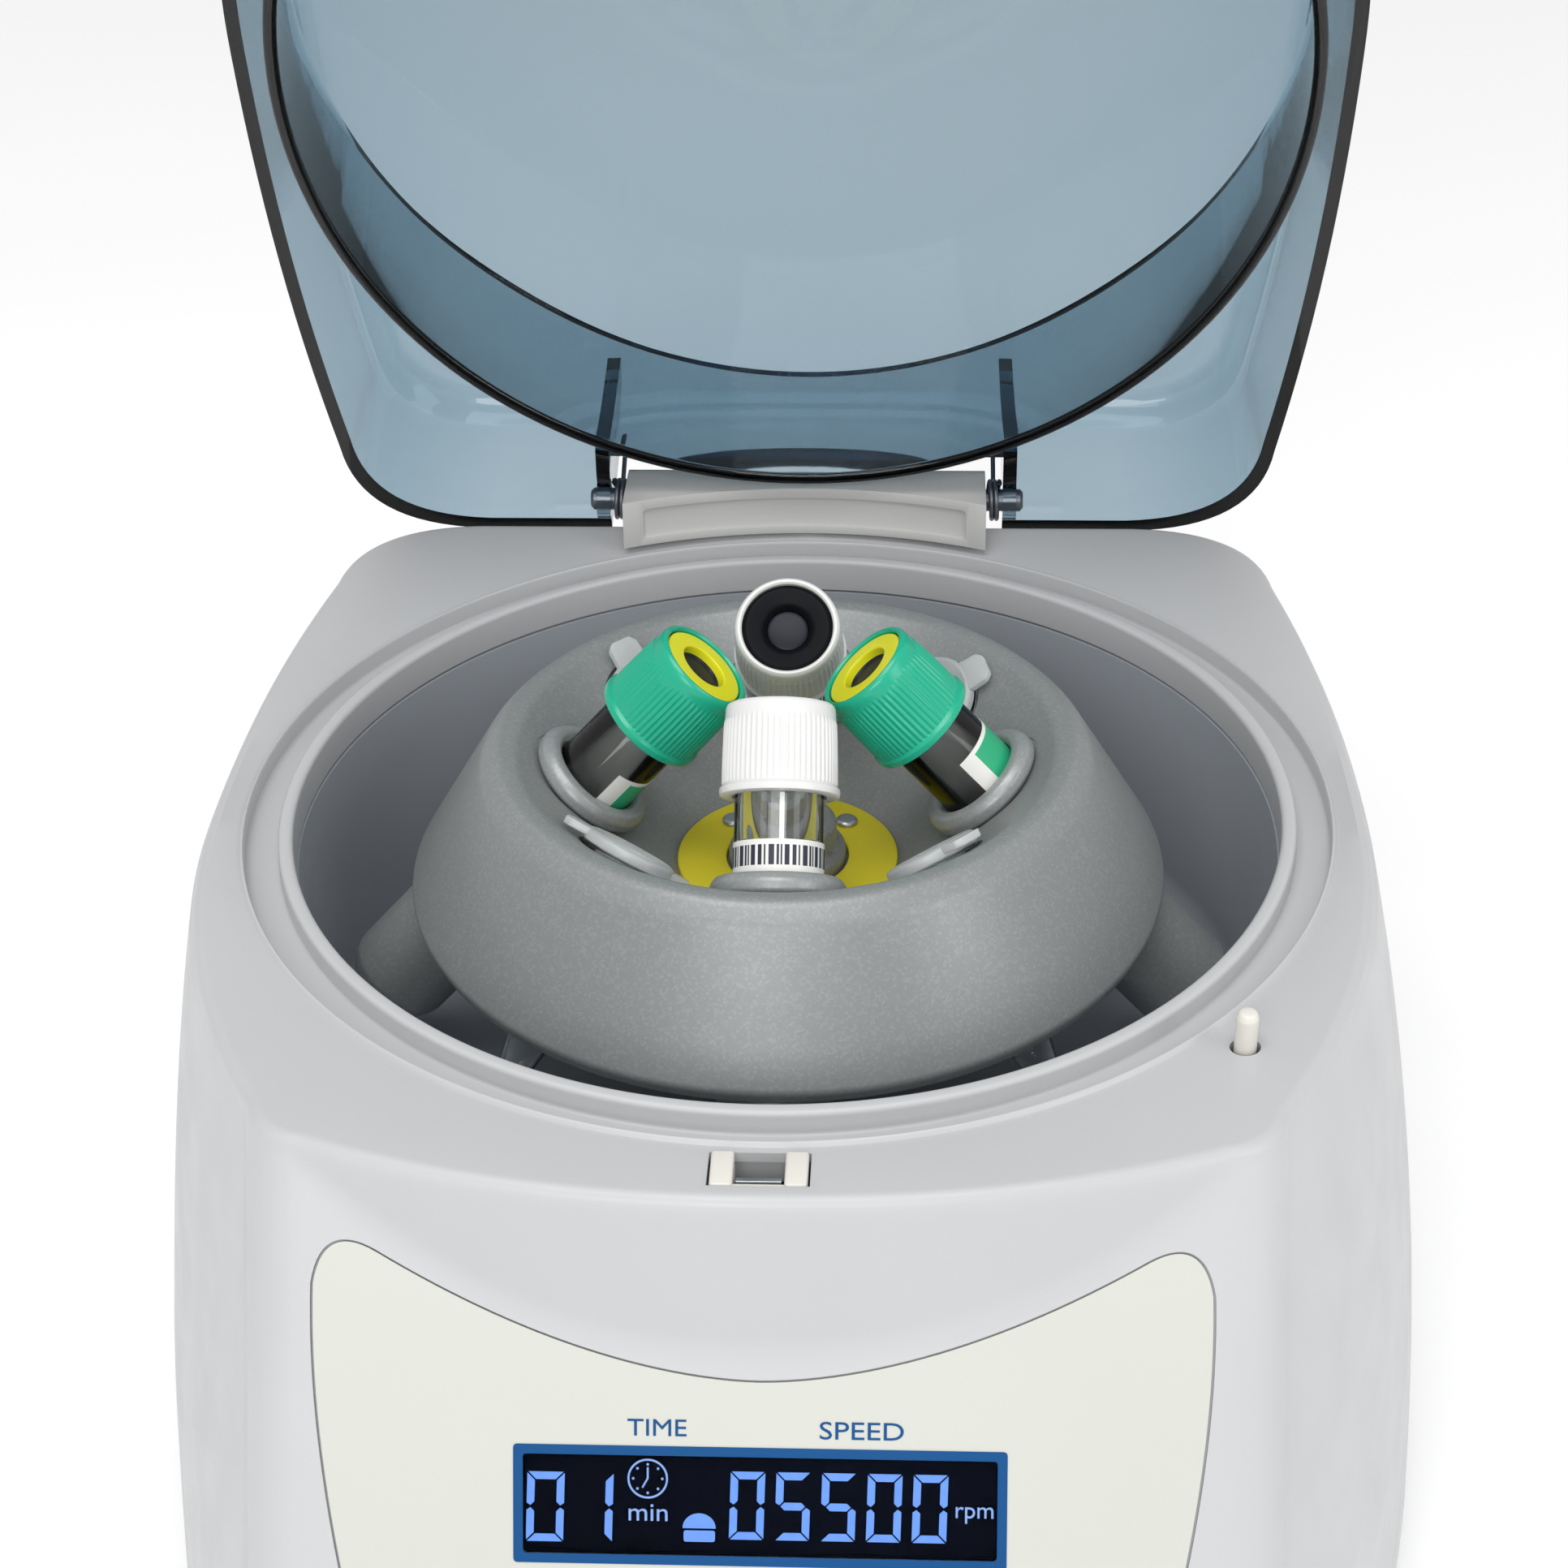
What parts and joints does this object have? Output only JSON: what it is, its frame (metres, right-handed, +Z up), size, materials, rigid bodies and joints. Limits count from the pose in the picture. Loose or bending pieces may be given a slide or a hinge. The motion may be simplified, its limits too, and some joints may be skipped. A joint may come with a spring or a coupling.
{
  "type": "laboratory centrifuge",
  "caption": "Small bench centrifuge with a hinged smoked lid, a fixed-angle tube rotor in a round bowl, a front display with keys, and a rear inlet and switch.",
  "frame": {"origin": "centre of the whole object's box, lid open, on the plane that the feet stand on", "axes": "+Z up along the rotor's axis, -Y towards the operator, +X to the operator's right"},
  "size_m": [0.206, 0.2406, 0.3093],
  "materials": {
    "shell_plastic": "fine satin texture",
    "bowl_plastic": "smooth satin",
    "bracket_plastic": "fine satin texture",
    "overlay_film": "satin printed film",
    "display_glass": "gloss window",
    "smoked_acrylic": "clear polished, smoke blue",
    "rotor_plastic": "satin with fine metallic flake",
    "ivory_plastic": "smooth satin",
    "black_plastic": "fine texture",
    "steel": "brushed",
    "zinc_plate": "zinc plated",
    "circuit_board": "solder mask",
    "rubber": "matte",
    "cap_white": "satin moulded",
    "cap_green": "satin moulded",
    "stopper_black": "matte",
    "stopper_yellow": "satin",
    "hub_yellow": "satin moulded",
    "tube_glass": "clear",
    "clear_plastic": "translucent moulded",
    "key_blue": "satin silicone"
  },
  "bodies": {
    "base": {"housing": "shell_plastic", "base_plate": "shell_plastic", "bowl_liner": "bowl_plastic", "hinge_bracket": "bracket_plastic", "hinge_pin_right": "steel", "hinge_pin_left": "steel", "latch_guide": "ivory_plastic", "latch_solenoid": "zinc_plate", "lid_sense_switch": "black_plastic", "front_overlay": "overlay_film", "display_window": "display_glass", "display_module": "black_plastic", "control_board": "circuit_board", "power_inlet": "black_plastic", "power_switch_frame": "black_plastic", "motor": "steel", "motor_plate": "zinc_plate", "foot_1": "rubber", "foot_2": "rubber", "foot_3": "rubber", "foot_4": "rubber", "motor_damper_1": "rubber", "motor_damper_2": "rubber", "motor_damper_3": "rubber"},
    "lid": {"lid": "smoked_acrylic", "lid_catch": "zinc_plate", "lid_spring_right": "steel", "lid_spring_left": "steel"},
    "rotor": {"rotor": "rotor_plastic", "hub_disc": "hub_yellow", "rotor_nut": "rotor_plastic", "drive_shaft": "steel", "tube_sleeve_1": "rotor_plastic", "sample_tube_1": "tube_glass", "tube_cap_1": "cap_white", "stopper_1": "stopper_black", "microtube_1": "clear_plastic", "tube_sleeve_2": "rotor_plastic", "sample_tube_2": "tube_glass", "tube_cap_2": "cap_green", "stopper_2": "stopper_yellow", "microtube_2": "clear_plastic", "tube_sleeve_3": "rotor_plastic", "sample_tube_3": "tube_glass", "tube_cap_3": "cap_white", "stopper_3": "stopper_black", "microtube_3": "clear_plastic", "tube_sleeve_4": "rotor_plastic", "sample_tube_4": "tube_glass", "tube_cap_4": "cap_green", "stopper_4": "stopper_yellow", "microtube_4": "clear_plastic"},
    "latch_hook": {"latch_hook": "zinc_plate"},
    "lid_sense_pin": {"lid_sense_pin": "ivory_plastic"},
    "power_rocker": {"power_switch_rocker": "black_plastic"},
    "key_time_up": {"key_time_up": "key_blue"},
    "key_time_down": {"key_time_down": "key_blue"},
    "key_start_stop": {"key_start_stop": "key_blue"},
    "key_speed_down": {"key_speed_down": "key_blue"},
    "key_speed_up": {"key_speed_up": "key_blue"}
  },
  "joints": [
    {"name": "lid_hinge", "type": "hinge", "parent": "base", "child": "lid", "pos_m": [0, 0.09522, 0.1276], "axis": [1, 0, 0], "range_deg": [0, 74.5], "stiffness_Nm_per_rad": 0.2, "springref_deg": -51.57},
    {"name": "rotor_spin", "type": "hinge", "parent": "base", "child": "rotor", "pos_m": [0, 0.00522, 0.124], "axis": [0, 0, 1], "continuous": true},
    {"name": "latch_hook_slide", "type": "slide", "parent": "base", "child": "latch_hook", "axis": [0, 1, 0], "range_m": [0, 0.0018], "stiffness_N_per_m": 200, "springref_m": -0.002},
    {"name": "lid_sense_press", "type": "slide", "parent": "base", "child": "lid_sense_pin", "axis": [0, 0, -1], "range_m": [0, 0.003], "stiffness_N_per_m": 150, "springref_m": -0.002},
    {"name": "power_rocker_tilt", "type": "hinge", "parent": "base", "child": "power_rocker", "pos_m": [0.042, 0.10462, 0.032], "axis": [0, 0, 1], "range_deg": [-16, 0]},
    {"name": "key_time_up_press", "type": "slide", "parent": "base", "child": "key_time_up", "axis": [0, 0.8829, -0.4695], "range_m": [0, 0.0008], "stiffness_N_per_m": 500, "springref_m": -0.0008},
    {"name": "key_time_down_press", "type": "slide", "parent": "base", "child": "key_time_down", "axis": [0, 0.8829, -0.4695], "range_m": [0, 0.0008], "stiffness_N_per_m": 500, "springref_m": -0.0008},
    {"name": "key_start_stop_press", "type": "slide", "parent": "base", "child": "key_start_stop", "axis": [0, 0.8829, -0.4695], "range_m": [0, 0.0008], "stiffness_N_per_m": 500, "springref_m": -0.0008},
    {"name": "key_speed_down_press", "type": "slide", "parent": "base", "child": "key_speed_down", "axis": [0, 0.8829, -0.4695], "range_m": [0, 0.0008], "stiffness_N_per_m": 500, "springref_m": -0.0008},
    {"name": "key_speed_up_press", "type": "slide", "parent": "base", "child": "key_speed_up", "axis": [0, 0.8829, -0.4695], "range_m": [0, 0.0008], "stiffness_N_per_m": 500, "springref_m": -0.0008}
  ]
}
